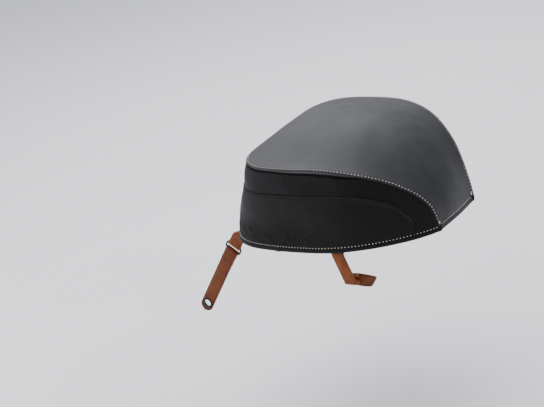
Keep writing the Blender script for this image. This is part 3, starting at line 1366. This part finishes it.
def flat_flap(name, outline, centre, outside, thick):
    """A flat leather flap with rounded edges, from its outline (x, z)."""
    pts = np.array(outline, float)
    middle = pts.mean(0)
    fine = []
    for a, b in zip(pts, np.roll(pts, -1, 0)):
        fine += [a + (b - a) * k / 8 for k in range(8)]
    fine = np.array(fine)
    for _ in range(3):
        fine = (np.roll(fine, 1, 0) + 2 * fine + np.roll(fine, -1, 0)) / 4
    rings, marks = [], []
    for inset, w, edge, crease, flesh in (
            (1.0, 0.52, 0, 0, 0), (0.5, 0.51, 0, 0, 0), (2.8, 0.5, 0, 0, 0),
            (2.2, 0.36, 0, 1, 0), (1.6, 0.5, 0, 0, 0), (0.5, 0.47, 0, 0, 0),
            (0.12, 0.32, 1, 0, 0), (0.0, 0.0, 1, 0, 0), (0.12, -0.32, 1, 0, 0),
            (0.5, -0.47, 0, 0, 0), (2.2, -0.38, 0, 1, 0), (0.5, -0.5, 0, 0, 0),
            (1.0, -0.5, 0, 0, 0)):
        far = np.linalg.norm(fine - middle, axis=1)
        if len(rings) in (0, 12):
            share = np.full(len(fine), 0.02)
        elif len(rings) in (1, 11):
            share = np.full(len(fine), 0.5)
        else:
            share = 1 - inset / far
        ring = middle + (fine - middle) * share[:, None]
        rings.append([centre + np.array([p[0], 0, p[1]]) + outside * w * thick for p in ring])
        marks += [(edge, crease, flesh)] * len(fine)
    rings = np.array(rings)
    piece = ring_piece(name, rings)
    mend(piece.data, fill=True)
    keep_marks(piece, rings.reshape(-1, 3), np.array(marks))
    return piece


for side, out in (("left", -1.0), ("right", 1.0)):
    outside = np.array([0.0, out, 0.0])
    edge_y = out * REAR_Y
    fold_y = edge_y - out * FOLD_TURN
    foot = [(REAR_X, edge_y - out * inside, 1.5) for inside in (26, 20, 12, 5, 2.6)]
    over = [(REAR_X + 0.1, edge_y - out * 0.9, 0.9), (REAR_X + 0.3, edge_y - out * 0.1, -0.8)]
    hang = [(REAR_X - REAR_LEAN * z, edge_y, z) for z in np.linspace(-3, REAR_FALL, 26)]
    bottom = REAR_X - REAR_LEAN * REAR_FALL
    turn = [(bottom, fold_y + out * a, REAR_FALL + b)
            for a, b in arc((0, 0), FOLD_TURN, 0, -180, 14)][1:]
    leaf = [(bottom, fold_y - out * FOLD_TURN, REAR_FALL + z) for z in (3, 7, LEAF_UP)]
    strip = strap("rear_leather_" + side, foot + over + hang + turn + leaf, (1, 0, 0),
                  STRAP_HALF, STRAP_THICK, flip=-out, seed=7)
    centre = np.array([bottom, fold_y - out * FOLD_TURN, REAR_FALL])
    flap = flat_flap("flap", FLAP, centre, -outside, STRAP_THICK)
    rear_strap = joined("rear_strap_leather_" + side, [strip, flap])
    tan_piece(rear_strap, ["rear_strap_" + side, "rear_strap_foot_" + side])
    "rear_strap_" + side
    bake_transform(rear_strap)

# ---------------------------------------------------------------------------------------
# Base: black leather over a stiff board, with a ribbed anti-slip pad glued below. These
# are flat, stiff layers and keep their plain shape.
panel_hide.put_on(nodes["base_leather"])

pad_rubber = Finish("rubber_pad", {"Specular IOR Level": 0.3})
ribs = pad_rubber.node("ShaderNodeTexWave", {"bands_direction": "DIAGONAL"}, {
    "Vector": pad_rubber.stretched((1.0, 1.0, 0.0)), "Scale": 60.0}, "Fac")
dust = pad_rubber.noise(40.0, 5.0)
pad_rubber.set("Base Color", pad_rubber.mix(pad_rubber.between(dust, 0.35, 0.7),
                                            rgb(0.012, 0.012, 0.012), rgb(0.03, 0.03, 0.03)))
pad_rubber.set("Roughness", pad_rubber.between(dust, 0.3, 0.7, 0.65, 0.85))
pad_rubber.set("Normal", pad_rubber.bump(ribs, 0.0012, 0.9))
pad_rubber.put_on(nodes["anti_slip_pad"])

board_plastic = Finish("base_board", {"Specular IOR Level": 0.4})
haze = board_plastic.noise(80.0, 4.0)
board_plastic.set("Base Color", board_plastic.mix(haze, rgb(0.02, 0.02, 0.02),
                                                  rgb(0.04, 0.04, 0.04)))
board_plastic.set("Roughness", board_plastic.between(haze, 0.3, 0.7, 0.4, 0.55))
board_plastic.put_on(nodes["base_board"])

# ---------------------------------------------------------------------------------------
# The studio: a pale floor well below the bag; soft lights from the front right, low from
# the front left, from above and, weakly, from the rear; and the camera.
FLOOR_DROP = 0.20
CAMERA_LENS = 132.35
floor_z = cad_box[0][2] - FLOOR_DROP
bpy.ops.mesh.primitive_plane_add(size=30, location=(0, 0, floor_z))
floor = bpy.context.object
floor.name = "floor"
paper = Finish("studio_paper")
paper.shader.inputs["Roughness"].default_value = 0.9
paper.set("Base Color", paper.mix(paper.noise(3.0), rgb(0.88, 0.88, 0.88), rgb(0.92, 0.92, 0.92)))
paper.put_on(floor)

world = bpy.data.worlds.new("studio")
world.use_nodes = True
bpy.context.scene.world = world
backdrop = world.node_tree.nodes["Background"]
backdrop.inputs["Color"].default_value = rgb(0.93, 0.95, 1.0)
backdrop.inputs["Strength"].default_value = 0.62


LIGHT_COLOUR = (0.94, 0.95, 1.0)


def soft_light(name, place, aim, size, power):
    """A large rectangular lamp turned towards a place."""
    lamp = bpy.data.lights.new(name, "AREA")
    lamp.shape = "RECTANGLE"
    lamp.size, lamp.size_y = size
    lamp.energy = power
    lamp.color = LIGHT_COLOUR
    light = bpy.data.objects.new(name, lamp)
    bpy.context.collection.objects.link(light)
    light.location = place
    light.rotation_euler = (Vector(aim) - Vector(place)).to_track_quat("-Z", "Y").to_euler()


soft_light("key_light", (-1.2, 1.5, 1.5), (0, 0, 0.1), (1.5, 1.0), 27)
soft_light("side_light", (-1.6, -1.2, 0.30), (0, 0, 0.08), (0.9, 0.9), 22)
soft_light("ceiling_light", (-0.3, 0.4, 3.2), (0, 0, 0), (3.2, 3.2), 105)
soft_light("rear_light", (1.5, 0.9, 1.3), (0.1, 0, 0.1), (1.2, 0.8), 6)

CAMERA_RIGHT = (0.8228, 0.5299, -0.2052)
CAMERA_UP = (-0.0476, 0.4240, 0.9044)
CAMERA_PLACE = (1.8014, -2.5721, 1.3152)
lens = bpy.data.cameras.new("camera")
lens.sensor_width = 36.0
lens.lens = CAMERA_LENS
camera = bpy.data.objects.new("camera", lens)
bpy.context.collection.objects.link(camera)
right, rise = Vector(CAMERA_RIGHT), Vector(CAMERA_UP)
turned = Matrix((right, rise, right.cross(rise))).transposed().to_4x4()
camera.matrix_world = Matrix.Translation(CAMERA_PLACE) @ turned
bpy.context.scene.camera = camera
